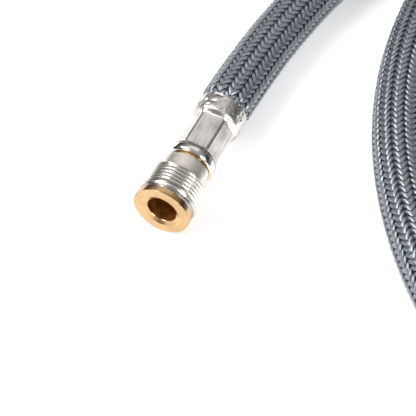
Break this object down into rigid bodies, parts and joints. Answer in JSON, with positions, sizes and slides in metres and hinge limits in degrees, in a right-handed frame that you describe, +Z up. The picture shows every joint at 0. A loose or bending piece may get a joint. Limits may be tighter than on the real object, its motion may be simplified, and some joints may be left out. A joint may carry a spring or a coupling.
{
  "type": "handheld bath sprayer",
  "caption": "Thumb-lever hand sprayer on a braided hose that ends in a swivelling, nickel-plated fitting with a fine male thread and a bare brass face.",
  "frame": {"origin": "On the floor, under the middle of the sprayer's box (the hose and what is on it left out).", "axes": "+X along the sprayer towards its inlet, so water leaves towards -X; +Z up from the floor; the coil of hose lies towards +Y."},
  "size_m": [0.3429, 0.3281, 0.0563],
  "materials": {
    "satin_nickel": "tumbled nickel plate",
    "bright_nickel": "bright nickel plate",
    "brass": "turned, bare",
    "braid": "grey multifilament yarn, plaited",
    "liner": "smooth",
    "seal_rubber": "smooth black",
    "white_shell": "moulded gloss",
    "grey_lever": "fine moulded grain",
    "clear_grey": "moulded",
    "green_insert": "moulded",
    "nozzle_rubber": "soft silicone",
    "steel": "drawn stainless"
  },
  "bodies": {
    "hose": {"supply_stem": "bright_nickel", "stem_o_ring_front": "seal_rubber", "stem_o_ring_rear": "seal_rubber", "supply_ferrule": "bright_nickel", "hose_liner": "liner", "hose_braid": "braid", "sprayer_ferrule": "bright_nickel", "sprayer_stem": "bright_nickel"},
    "supply_end": {"supply_connector": "satin_nickel", "connector_retainer": "brass"},
    "sprayer": {"swivel_nut": "bright_nickel", "nut_washer": "seal_rubber", "inlet_strainer": "clear_grey", "flow_restrictor": "green_insert", "waterway": "satin_nickel", "body_shell": "white_shell", "gland_nut": "satin_nickel", "lever_pin": "steel", "diffuser": "clear_grey", "face_gasket": "seal_rubber", "nozzle_plate": "nozzle_rubber", "face_ring": "bright_nickel"},
    "lever": {"thumb_lever": "grey_lever"},
    "valve": {"valve_stem": "steel", "valve_seal_lower": "seal_rubber", "valve_seal_upper": "seal_rubber", "valve_spring": "steel"}
  },
  "joints": [
    {"name": "connector_spin", "type": "hinge", "parent": "hose", "child": "supply_end", "pos_m": [-0.103, 0.141, 0.0075], "axis": [0.4226, 0.9063, 0], "continuous": true},
    {"name": "sprayer_swivel", "type": "hinge", "parent": "hose", "child": "sprayer", "pos_m": [0.075, 0, 0.023], "axis": [1, 0, 0], "continuous": true},
    {"name": "lever_press", "type": "hinge", "parent": "sprayer", "child": "lever", "pos_m": [0.023, 0, 0.044], "axis": [0, -1, 0], "range_deg": [0, 7.6], "stiffness_Nm_per_rad": 0.5, "springref_deg": -5.73},
    {"name": "valve_slide", "type": "slide", "parent": "sprayer", "child": "valve", "axis": [0, 0, -1], "range_m": [0, 0.004], "deforming": ["valve_spring"]}
  ],
  "couplings": [
    {"joint": "valve_slide", "follows": "lever_press", "m_per_rad": 0.03}
  ]
}
